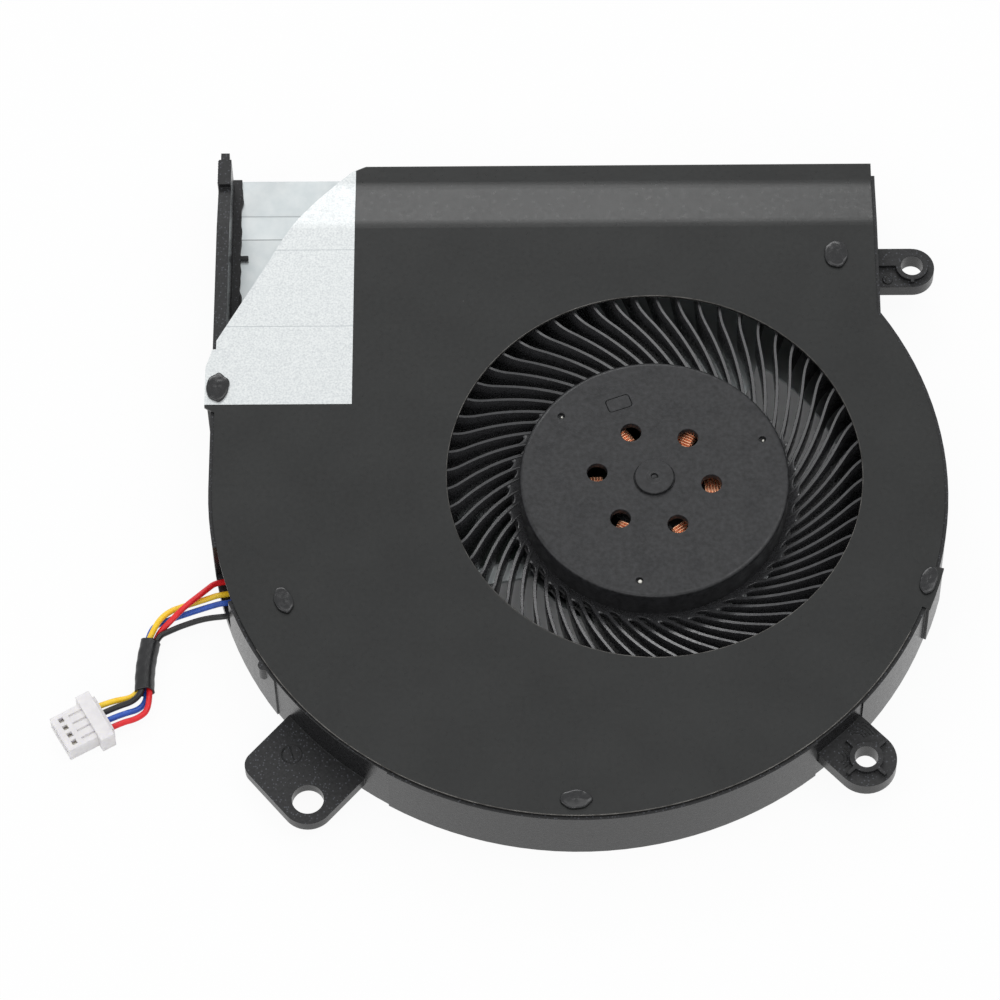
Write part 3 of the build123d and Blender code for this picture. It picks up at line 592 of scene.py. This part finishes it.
def stake_head(number, where, across, along, turn, uneven):
    """Dome over one stake; uneven is how ragged its rim is."""
    dice = random.Random(number)
    phases = [dice.uniform(0, math.tau) for wave in range(STAKE_WAVES)]
    steer = Matrix.Rotation(math.radians(turn), 2)
    shape = bmesh.new()
    rings = []
    for reach, lift in DOME:
        ring = []
        for step in range(STAKE_SIDES):
            angle = math.tau * step / STAKE_SIDES
            waves = [math.sin((wave + 2) * angle + phase) for wave, phase in enumerate(phases)]
            scale = reach * (1 + uneven * (sum(waves) / STAKE_WAVES) * reach)
            flat = scale / 2 * (steer @ Vector((across * math.cos(angle), along * math.sin(angle))))
            dent = 0.02 * math.sin(2 * angle + phases[0]) * (1 - reach)
            ring.append((where[0] + flat.x, where[1] + flat.y, COVER_TOP + lift + dent))
        rings.append(ring)
    ring_strip(shape, rings)
    place(f"stake_head_{number}", mesh_of(f"stake_head_{number}", shape), stake_plastic)


def about_volute(radius, degrees):
    """Point about the centre of the round side wall."""
    angle = math.radians(degrees)
    return VOLUTE + radius * Vector((math.cos(angle), math.sin(angle)))


stake_head(1, (20.5, 27.7), 2.4, 3.2, 0, 0.07)
stake_head(2, (-47.6, 11.0), 2.3, 3.2, 0, 0.13)
stake_head(3, about_volute(34.5, -156.1), 1.8, 3.0, 20, 0.07)
stake_head(4, about_volute(37.8, -90.7), 3.05, 2.05, 0, 0.08)
stake_head(5, about_volute(39.3, -17.8), 1.7, 3.1, -18, 0.07)

# Impeller, finer than the solid: hub with its marks, root webs with round slots, and swept blades
HUB_RADIUS = 14.65
HUB_CEILING = 6.1
HUB_INSIDE = 13.65
HUB_BOTTOM = 1.6
FLANGE_RADIUS = 15.5
FLANGE_TOP = 2.6
HUB_SIDES = 144
VENTS = 6
VENT_CIRCLE = 6.23
VENT_RADIUS = 1.1
VENT_ANGLE = -6.7
VENT_SIDES = 40
PIN_CIRCLE = 12.75
PIN_ANGLES = (22, 142, 262)
PIN_FLOOR = HUB_TOP - 0.4
PIN_SIDES = 28
CAP_TOP = HUB_TOP + 0.38
CAP_SIDES = 56
SEAT_LOW = HUB_CEILING - 0.7
SEAT_SIDES = 40
MARK_PLACE = (-3.75, 9.4)
MARK_TURN = math.radians(20)
BLADES = 61
BLADE_ROOT = 14.6
BLADE_TIP = 27.95
BLADE_ROOT_ANGLE = -24.9
BLADE_SEAT = 2.97
BLADE_TOP = 7.0
BLADE_RISE = 23.45
BLADE_EASE = 0.12
BLADE_HALF = 0.165
ROOT_FLARE = 0.3
ROOT_FLARE_END = 6.0
ROOT_SINK = 0.05
ROOT_SINK_END = 0.8
LEAN = 46.0
LEAN_LOSS = 30.0
LEAN_FROM = 20.6
LEAN_TO = 23.6
BLADE_EDGES = ((-1, None), (-1, 0.06), (-0.8, 0.0), (0.8, 0.0), (1, 0.06), (1, None))


def plate_points(where, width, depth, corner, turn, level):
    """Points of a level rectangle with round corners."""
    points = []
    for quarter in range(4):
        start = quarter * math.pi / 2
        side_x = (width / 2 - corner) * (1 if quarter in (0, 3) else -1)
        side_y = (depth / 2 - corner) * (1 if quarter in (0, 1) else -1)
        for step in range(6):
            angle = start + math.pi / 2 * step / 5
            spot = Vector((side_x + corner * math.cos(angle), side_y + corner * math.sin(angle)))
            spot.rotate(Matrix.Rotation(turn, 2))
            points.append((where[0] + spot.x, where[1] + spot.y, level))
    return points


def fill_between(shape, loops):
    """Flat face between an outer loop and the holes in it."""
    edges = []
    for loop in loops:
        edges += [shape.edges.get(pair) for pair in zip(loop, loop[1:] + loop[:1])]
    made = bmesh.ops.triangle_fill(shape, use_beauty=True, edges=edges, normal=(0, 0, 1))
    for item in made["geom"]:
        if isinstance(item, bmesh.types.BMFace):
            item.smooth = False


hub = bmesh.new()
rim = (
    (14.2, HUB_TOP),
    (14.36, HUB_TOP - 0.03),
    (14.5, HUB_TOP - 0.1),
    (14.6, HUB_TOP - 0.22),
    (HUB_RADIUS, HUB_TOP - 0.4),
    (HUB_RADIUS, FLANGE_TOP),
    (FLANGE_RADIUS, FLANGE_TOP),
    (FLANGE_RADIUS, HUB_BOTTOM),
    (HUB_INSIDE, HUB_BOTTOM),
    (HUB_INSIDE, HUB_CEILING),
)
top_edge, ceiling_edge = add_bands(hub, [ring_points((0, 0), *spot, HUB_SIDES) for spot in rim])
top_loops = [top_edge]
ceiling_loops = [ceiling_edge]
for number in range(VENTS):
    angle = math.radians(VENT_ANGLE + 360 / VENTS * number)
    spot = (VENT_CIRCLE * math.cos(angle), VENT_CIRCLE * math.sin(angle))
    walls = (
        (VENT_RADIUS + 0.09, HUB_TOP),
        (VENT_RADIUS + 0.03, HUB_TOP - 0.03),
        (VENT_RADIUS, HUB_TOP - 0.1),
        (VENT_RADIUS, HUB_CEILING),
    )
    upper, lower = add_bands(hub, [ring_points(spot, *step, VENT_SIDES) for step in walls])
    top_loops.append(upper)
    ceiling_loops.append(lower)
for degrees in PIN_ANGLES:
    angle = math.radians(degrees)
    spot = (PIN_CIRCLE * math.cos(angle), PIN_CIRCLE * math.sin(angle))
    walls = ((0.46, HUB_TOP), (0.4, HUB_TOP - 0.03), (0.37, HUB_TOP - 0.12), (0.35, PIN_FLOOR))
    upper, lower = add_bands(hub, [ring_points(spot, *step, PIN_SIDES) for step in walls])
    top_loops.append(upper)
    hub.faces.new(lower)
cap = (
    (2.25, HUB_TOP),
    (2.2, HUB_TOP - 0.06),
    (2.14, HUB_TOP - 0.06),
    (2.12, CAP_TOP - 0.08),
    (2.04, CAP_TOP),
    (0.9, CAP_TOP),
    (0.82, CAP_TOP - 0.03),
    (0.6, CAP_TOP - 0.03),
    (0.5, CAP_TOP + 0.01),
    (0.4, CAP_TOP - 0.02),
    (0.34, CAP_TOP - 0.3),
    (0.12, CAP_TOP - 0.36),
)
upper, lower = add_bands(hub, [ring_points((0, 0), *spot, CAP_SIDES) for spot in cap])
top_loops.append(upper)
hub.faces.new(lower)
groove = ((2.8, 1.7, 0.4, 0.0), (2.7, 1.6, 0.35, 0.12), (2.56, 1.46, 0.3, 0.0))
rows = []
for wide, deep, corner, drop in groove:
    rows.append(plate_points(MARK_PLACE, wide, deep, corner, MARK_TURN, HUB_TOP - drop))
upper, lower = add_bands(hub, rows)
top_loops.append(upper)
hub.faces.new(lower).smooth = False
seat = ((2.55, HUB_CEILING), (2.55, SEAT_LOW), (1.0, SEAT_LOW), (1.0, HUB_TOP - 0.4))
upper, lower = add_bands(hub, [ring_points((0, 0), *spot, SEAT_SIDES) for spot in seat])
ceiling_loops.append(upper)
hub.faces.new(lower)
for face in hub.faces:
    face.smooth = True
fill_between(hub, top_loops)
fill_between(hub, ceiling_loops)


def blade_top(radius):
    """Height of the blades: a climb from the root that eases into the level rim."""
    share = (radius - BLADE_ROOT) / (BLADE_RISE - BLADE_ROOT)
    climb = BLADE_SEAT + (BLADE_TOP - BLADE_SEAT) * share
    over = (climb - BLADE_TOP) / BLADE_EASE
    return BLADE_TOP if over > 8 else climb - BLADE_EASE * math.log1p(math.exp(over))


def blade_lean(radius):
    """Angle between a blade and the radius."""
    share = min(max((radius - LEAN_FROM) / (LEAN_TO - LEAN_FROM), 0.0), 1.0)
    return math.radians(LEAN - LEAN_LOSS * share * share * (3 - 2 * share))


blade_line = []
BLADE_STEP = 0.05
angle = math.radians(BLADE_ROOT_ANGLE)
steps = round((BLADE_TIP - BLADE_ROOT) / BLADE_STEP)
for step in range(steps + 1):
    radius = BLADE_ROOT + (BLADE_TIP - BLADE_ROOT) * step / steps
    if step % 8 == 0 or step == steps:
        blade_line.append((radius, angle))
    angle += math.tan(blade_lean(radius)) * BLADE_STEP / radius


def blade_angle(radius):
    """Direction of a blade's middle, read between the points of its line."""
    for (low, start), (high, end) in zip(blade_line, blade_line[1:]):
        if radius <= high:
            return start + (end - start) * (radius - low) / (high - low)
    return blade_line[-1][1]


blades = bmesh.new()
PITCH = math.tau / BLADES
SLOT_STARTS = (15.25, 15.85)
SLOT_ROUND = 0.75
WEB_STEPS = 12
WEB_ROWS = ((0.0, 0.0), (0.5, 0.0), (0.78, 0.0), (0.9, 0.04), (1.0, 0.2), (1.0, None))
for number in range(BLADES):
    rings = []
    for radius, angle in blade_line:
        turned = angle + number * PITCH
        out = Vector((math.cos(turned), math.sin(turned)))
        heading = turned + blade_lean(radius)
        across = Vector((-math.sin(heading), math.cos(heading)))
        top = blade_top(radius)
        half = BLADE_HALF * (1 + ROOT_FLARE * max(0.0, 1 - (radius - BLADE_ROOT) / ROOT_FLARE_END))
        sunk = ROOT_SINK * max(0.0, 1 - (radius - BLADE_ROOT) / ROOT_SINK_END)
        ring = []
        for side, drop in BLADE_EDGES:
            spot = radius * out + side * half * across
            level = HUB_BOTTOM if drop is None else top - drop - sunk
            ring.append((spot.x, spot.y, level))
        rings.append(ring)
    ring_strip(blades, rings)
    rows = [[] for row in WEB_ROWS]
    for step in range(WEB_STEPS + 1):
        share = 2 * step / WEB_STEPS - 1
        slot = SLOT_STARTS[number % 2] + SLOT_ROUND * (1 - math.sqrt(1 - share * share))
        for row, (reach, drop) in zip(rows, WEB_ROWS):
            radius = BLADE_ROOT + (slot - BLADE_ROOT) * reach
            turned = blade_angle(radius) + (number + 0.5 + 0.5 * share) * PITCH
            level = HUB_BOTTOM if drop is None else blade_top(radius) - drop
            row.append((radius * math.cos(turned), radius * math.sin(turned), level))
    made = [[blades.verts.new(Vector(point) * MM) for point in row] for row in rows]
    for row, following in zip(made, made[1:]):
        for a, b, c, d in zip(row, row[1:], following[1:], following):
            blades.faces.new((a, b, c, d))
bmesh.ops.recalc_face_normals(hub, faces=hub.faces)
bmesh.ops.recalc_face_normals(blades, faces=blades.faces)
for face in blades.faces:
    face.smooth = True
    face.material_index = 1
wheel = bpy.data.meshes.new("impeller_fine")
blades.to_mesh(wheel)
hub.from_mesh(wheel)
hub.to_mesh(wheel)
hub.free()
blades.free()
wheel.set_sharp_from_angle(angle=math.radians(40))
for face in wheel.polygons:
    if face.normal.z > 0.9999 and face.material_index == 0:
        face.use_smooth = False
impeller = place("impeller_fine", wheel, impeller_plastic, "rotor")
wheel.materials.append(lightened_blade_plastic.material)
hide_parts("impeller")

# White nubs deep in the hub's pin holes: painted highlights for the bright spot in each hole
GLINT_SIZES = (0.13, 0.12, 0.24)
for number, (degrees, size) in enumerate(zip(PIN_ANGLES, GLINT_SIZES), start=1):
    angle = math.radians(degrees)
    spot = (PIN_CIRCLE * math.cos(angle) + 0.08, PIN_CIRCLE * math.sin(angle) - 0.14 + 0.3 * size)
    glint_profile = (
        (size, PIN_FLOOR),
        (0.95 * size, HUB_TOP - 0.2),
        (0.7 * size, HUB_TOP - 0.08),
        (0.1 * size, HUB_TOP - 0.03),
    )
    lathe(f"hub_pin_glint_{number}", spot, glint_profile, pad_nylon, "rotor", 20)

# Bare edge of the cover's sheet round the inlet
INLET_RADIUS = 22.5
EDGE = ((0.0, -0.29), (-0.03, -0.26), (-0.03, -0.04), (0.02, 0.005), (0.08, 0.005), (0.02, -0.15))
hoop("inlet_edge", (0, 0), INLET_RADIUS, COVER_TOP, EDGE, 180, cut_edge)

# Light metal bead along the cover's round front: a painted highlight for the sheet's rounded edge
COVER_RADIUS = 39.6
RIM_LEVEL = COVER_TOP - 0.05
RIM_ROUND = 0.07
rim_line = [(*about_volute(COVER_RADIUS, degrees), RIM_LEVEL) for degrees in range(-150, -24, 3)]
place("cover_rim_highlight", curve_of("cover_rim_highlight", rim_line, RIM_ROUND, 4, 2), cut_edge)

# Moulding marks: a pin boss on the right tab, ridges on the corner tab; on the foot tab, painted shade as
# a dark ring round its recess and a dark slit
RIDGE_LEVEL = 4.92
RIDGE_ROUND = 0.065
RIDGE_STEPS = 8
boss = ((0.58, 4.9), (0.56, 5.0), (0.44, 5.03), (0.38, 4.97), (0.27, 4.97), (0.21, 5.02), (0.05, 5.03))
lathe("tab_boss", (26.3, 26.3), boss, frame_plastic, "housing", 28)
ridge_number = 0
for centre, reaches, start, end in (
    ((21.0, -30.9), (0.85, 1.2, 1.55, 1.9, 2.25), 20, 130),
    ((19.0, -33.0), (0.6, 0.95, 1.3), -60, 60),
):
    for reach in reaches:
        ridge_number += 1
        points = []
        for step in range(RIDGE_STEPS + 1):
            angle = math.radians(start + (end - start) * step / RIDGE_STEPS)
            x = centre[0] + reach * math.cos(angle)
            y = centre[1] + reach * math.sin(angle)
            points.append((x, y, RIDGE_LEVEL))
        curve = curve_of(f"tab_ridge_{ridge_number}", points, RIDGE_ROUND, 6, 2)
        place(f"tab_ridge_{ridge_number}", curve, frame_plastic)
RING_PROFILE = ((-0.08, -0.05), (-0.045, 0.02), (0.045, 0.02), (0.08, -0.05), (0.0, -0.09))
FOOT_TAB_TOP = 2.8
# A dark ring round the foot tab's recess and a dark slit: painted shade.
hoop("tab_ring", (-38.9, -31.2), 1.1, FOOT_TAB_TOP, RING_PROFILE, 56, painted_hole_shade)
SLIT_LEVEL = 2.71
SLIT_ROUND = 0.07
slit_line = [(x, y, SLIT_LEVEL) for x, y in ((-39.13, -30.3), (-38.9, -31.1), (-38.62, -31.85))]
place("tab_slit", curve_of("tab_slit", slit_line, SLIT_ROUND, 6, 2), painted_hole_shade)

# Flash along the foot of the left wall, and teeth along its end block
STRIP_BURIED = 0.1
STRIP_CHAMFER = 0.06


def ragged_strip(name, line, reaches, bottoms, tops, side):
    """Thin strip with an uneven edge: line gives x and y along it, side the way that it sticks out."""
    shape = bmesh.new()
    rings = []
    for (x, y), reach, low, high in zip(line, reaches, bottoms, tops):
        out = x + side * reach
        back = x - side * STRIP_BURIED
        edge = (out, y, high - STRIP_CHAMFER)
        corner = (out - side * STRIP_CHAMFER, y, high)
        rings.append(((back, y, low), (out, y, low), edge, corner, (back, y, high)))
    ring_strip(shape, rings)
    place(name, mesh_of(name, shape), frame_plastic)


PLATE_TOP = 0.4
PLATE_STEP = 0.5
PLATE_BEND = 34.9
PLATE_RAMP = 2.75


def plate_level(y):
    """Top of the base plate beside the left wall."""
    return PLATE_TOP + PLATE_STEP * min(max((y - PLATE_BEND) / PLATE_RAMP, 0.0), 1.0)


dice = random.Random(7)
FOOT_EDGE = -46.05
FOOT_START = 14.0
FOOT_STEP = 0.2
FLASH_HEIGHT = 0.36
foot_line = [(FOOT_EDGE, FOOT_START + FOOT_STEP * step) for step in range(142)]
foot_reach = []
for x, y in foot_line:
    swell = 0.1 * math.sin(1.3 * y) + 0.06 * math.sin(3.7 * y + 1.0) + dice.uniform(-0.03, 0.03)
    lump = 0.26 * math.exp(-(((y - 26.9) / 0.9) ** 2)) + 0.14 * math.exp(-(((y - 39.7) / 0.7) ** 2))
    foot_reach.append(max(0.01, 0.05 + 0.6 * swell + lump))
foot_low = [plate_level(y) for x, y in foot_line]
foot_high = [level + FLASH_HEIGHT for level in foot_low]
ragged_strip("foot_flash", foot_line, foot_reach, foot_low, foot_high, 1)
BLOCK_EDGE = -48.3
BLOCK_START = 38.0
BLOCK_STEP = 0.06
BLOCK_LOW = 5.4
BLOCK_HIGH = 7.36
TOOTH_PITCH = 0.36
block_line = [(BLOCK_EDGE, BLOCK_START + BLOCK_STEP * step) for step in range(52)]
block_reach = []
for x, y in block_line:
    block_reach.append(0.02 + 0.09 * abs(math.sin(math.pi * (y - BLOCK_START) / TOOTH_PITCH)))
block_low = [BLOCK_LOW] * len(block_line)
block_high = [BLOCK_HIGH] * len(block_line)
ragged_strip("block_teeth", block_line, block_reach, block_low, block_high, -1)

# Solder on the board's tail, where the leads start
BLOB = ((0.62, 0.8), (0.58, 0.95), (0.45, 1.1), (0.25, 1.18), (0.08, 1.2))
for number, route in enumerate(routes.values(), start=1):
    lathe(f"solder_{number}", Vector(route[0]), BLOB, solder, "housing", 24)

# Floor, lights and camera
floor_mesh = bpy.data.meshes.new("floor")
REACH = 4.0
SHADED_REACH = 30.0  # the floor seen through the part's openings is plain paper
floor_mesh.from_pydata(
    [(-REACH, -REACH, 0), (REACH, -REACH, 0), (REACH, REACH, 0), (-REACH, REACH, 0)], [], [(0, 1, 2, 3)]
)
floor = bpy.data.objects.new("floor", floor_mesh)
floor.location.z = -0.02 * MM
collection.objects.link(floor)
floor_look = bpy.data.materials.new("floor")
floor_look.use_nodes = True
tree = floor_look.node_tree
tree.nodes.remove(tree.nodes["Principled BSDF"])
paper = tree.nodes.new("ShaderNodeBsdfDiffuse")
paper.inputs["Color"].default_value = (0.82, 0.82, 0.82, 1.0)
glow = tree.nodes.new("ShaderNodeEmission")
glow.inputs["Strength"].default_value = 1.0
backdrop = tree.nodes.new("ShaderNodeMixShader")
backdrop.inputs["Fac"].default_value = 0.94
tree.links.new(paper.outputs["BSDF"], backdrop.inputs[1])
tree.links.new(glow.outputs["Emission"], backdrop.inputs[2])
rays = tree.nodes.new("ShaderNodeLightPath")
lit = tree.nodes.new("ShaderNodeMath")
lit.operation = "MAXIMUM"
tree.links.new(rays.outputs["Is Camera Ray"], lit.inputs[0])
tree.links.new(rays.outputs["Is Glossy Ray"], lit.inputs[1])
floor_place = tree.nodes.new("ShaderNodeTexCoord")
from_middle = tree.nodes.new("ShaderNodeVectorMath")
from_middle.operation = "LENGTH"
tree.links.new(floor_place.outputs["Object"], from_middle.inputs[0])
outside = tree.nodes.new("ShaderNodeMath")
outside.operation = "GREATER_THAN"
outside.inputs[1].default_value = SHADED_REACH * MM
tree.links.new(from_middle.outputs["Value"], outside.inputs[0])
white = tree.nodes.new("ShaderNodeMath")
white.operation = "MULTIPLY"
tree.links.new(lit.outputs["Value"], white.inputs[0])
tree.links.new(outside.outputs["Value"], white.inputs[1])
seen = tree.nodes.new("ShaderNodeMixShader")
tree.links.new(white.outputs["Value"], seen.inputs["Fac"])
tree.links.new(paper.outputs["BSDF"], seen.inputs[1])
tree.links.new(backdrop.outputs["Shader"], seen.inputs[2])
tree.links.new(seen.outputs["Shader"], tree.nodes["Material Output"].inputs["Surface"])
floor_mesh.materials.append(floor_look)

world = bpy.data.worlds.new("studio")
world.use_nodes = True
world.node_tree.nodes["Background"].inputs["Color"].default_value = (0.97, 0.985, 1.0, 1.0)
world.node_tree.nodes["Background"].inputs["Strength"].default_value = 0.66
bpy.context.scene.world = world


def softbox(name, where, aim, width, height, brightness):
    """Soft light panel; brightness is the radiance of its face."""
    light = bpy.data.lights.new(name, "AREA")
    light.shape = "RECTANGLE"
    light.size = width
    light.size_y = height
    light.energy = brightness * math.pi * width * height
    lamp = bpy.data.objects.new(name, light)
    lamp.location = where
    lamp.rotation_euler = (Vector(aim) - Vector(where)).to_track_quat("-Z", "Y").to_euler()
    collection.objects.link(lamp)


middle = (-0.012, 0.0, 0.004)
softbox("back_panel", (-0.12, 0.59, 0.46), middle, 0.46, 0.17, 4.3)
softbox("top_panel", (-0.02, 0.0, 0.9), middle, 0.56, 0.52, 0.95)
softbox("right_panel", (0.44, 0.12, 0.75), middle, 0.4, 0.5, 1.7)
softbox("left_panel", (-0.55, -0.3, 0.5), middle, 0.4, 0.4, 1.5)
softbox("front_panel", (-0.04, -0.75, 0.5), middle, 0.3, 0.14, 6.0)

TARGET = Vector((-16.715, -3.272, 8.0)) * MM
DISTANCE = 560.46 * MM
ELEVATION = math.radians(60.533)
YAW = math.radians(-1.3112)
ROLL = math.radians(-1.4735)
SENSOR = 36.0
FOCAL_PIXELS = 5192.9
PICTURE_PIXELS = 1000
ahead = Vector(
    (math.sin(YAW) * math.cos(ELEVATION), math.cos(YAW) * math.cos(ELEVATION), -math.sin(ELEVATION))
)
right = ahead.cross(Vector((0, 0, 1))).normalized()
above = right.cross(ahead)
tilted_right = math.cos(ROLL) * right + math.sin(ROLL) * above
tilted_above = math.cos(ROLL) * above - math.sin(ROLL) * right
camera_data = bpy.data.cameras.new("camera")
camera_data.sensor_width = SENSOR
camera_data.lens = FOCAL_PIXELS / PICTURE_PIXELS * SENSOR
camera_data.clip_start = 0.01
camera_data.clip_end = 20.0
camera = bpy.data.objects.new("camera", camera_data)
camera_place = Matrix((tilted_right, tilted_above, -ahead)).transposed().to_4x4()
camera_place.translation = TARGET - DISTANCE * ahead
camera.matrix_world = camera_place
collection.objects.link(camera)
bpy.context.scene.camera = camera
bpy.context.scene.view_settings.view_transform = "Standard"

bpy.context.view_layer.update()
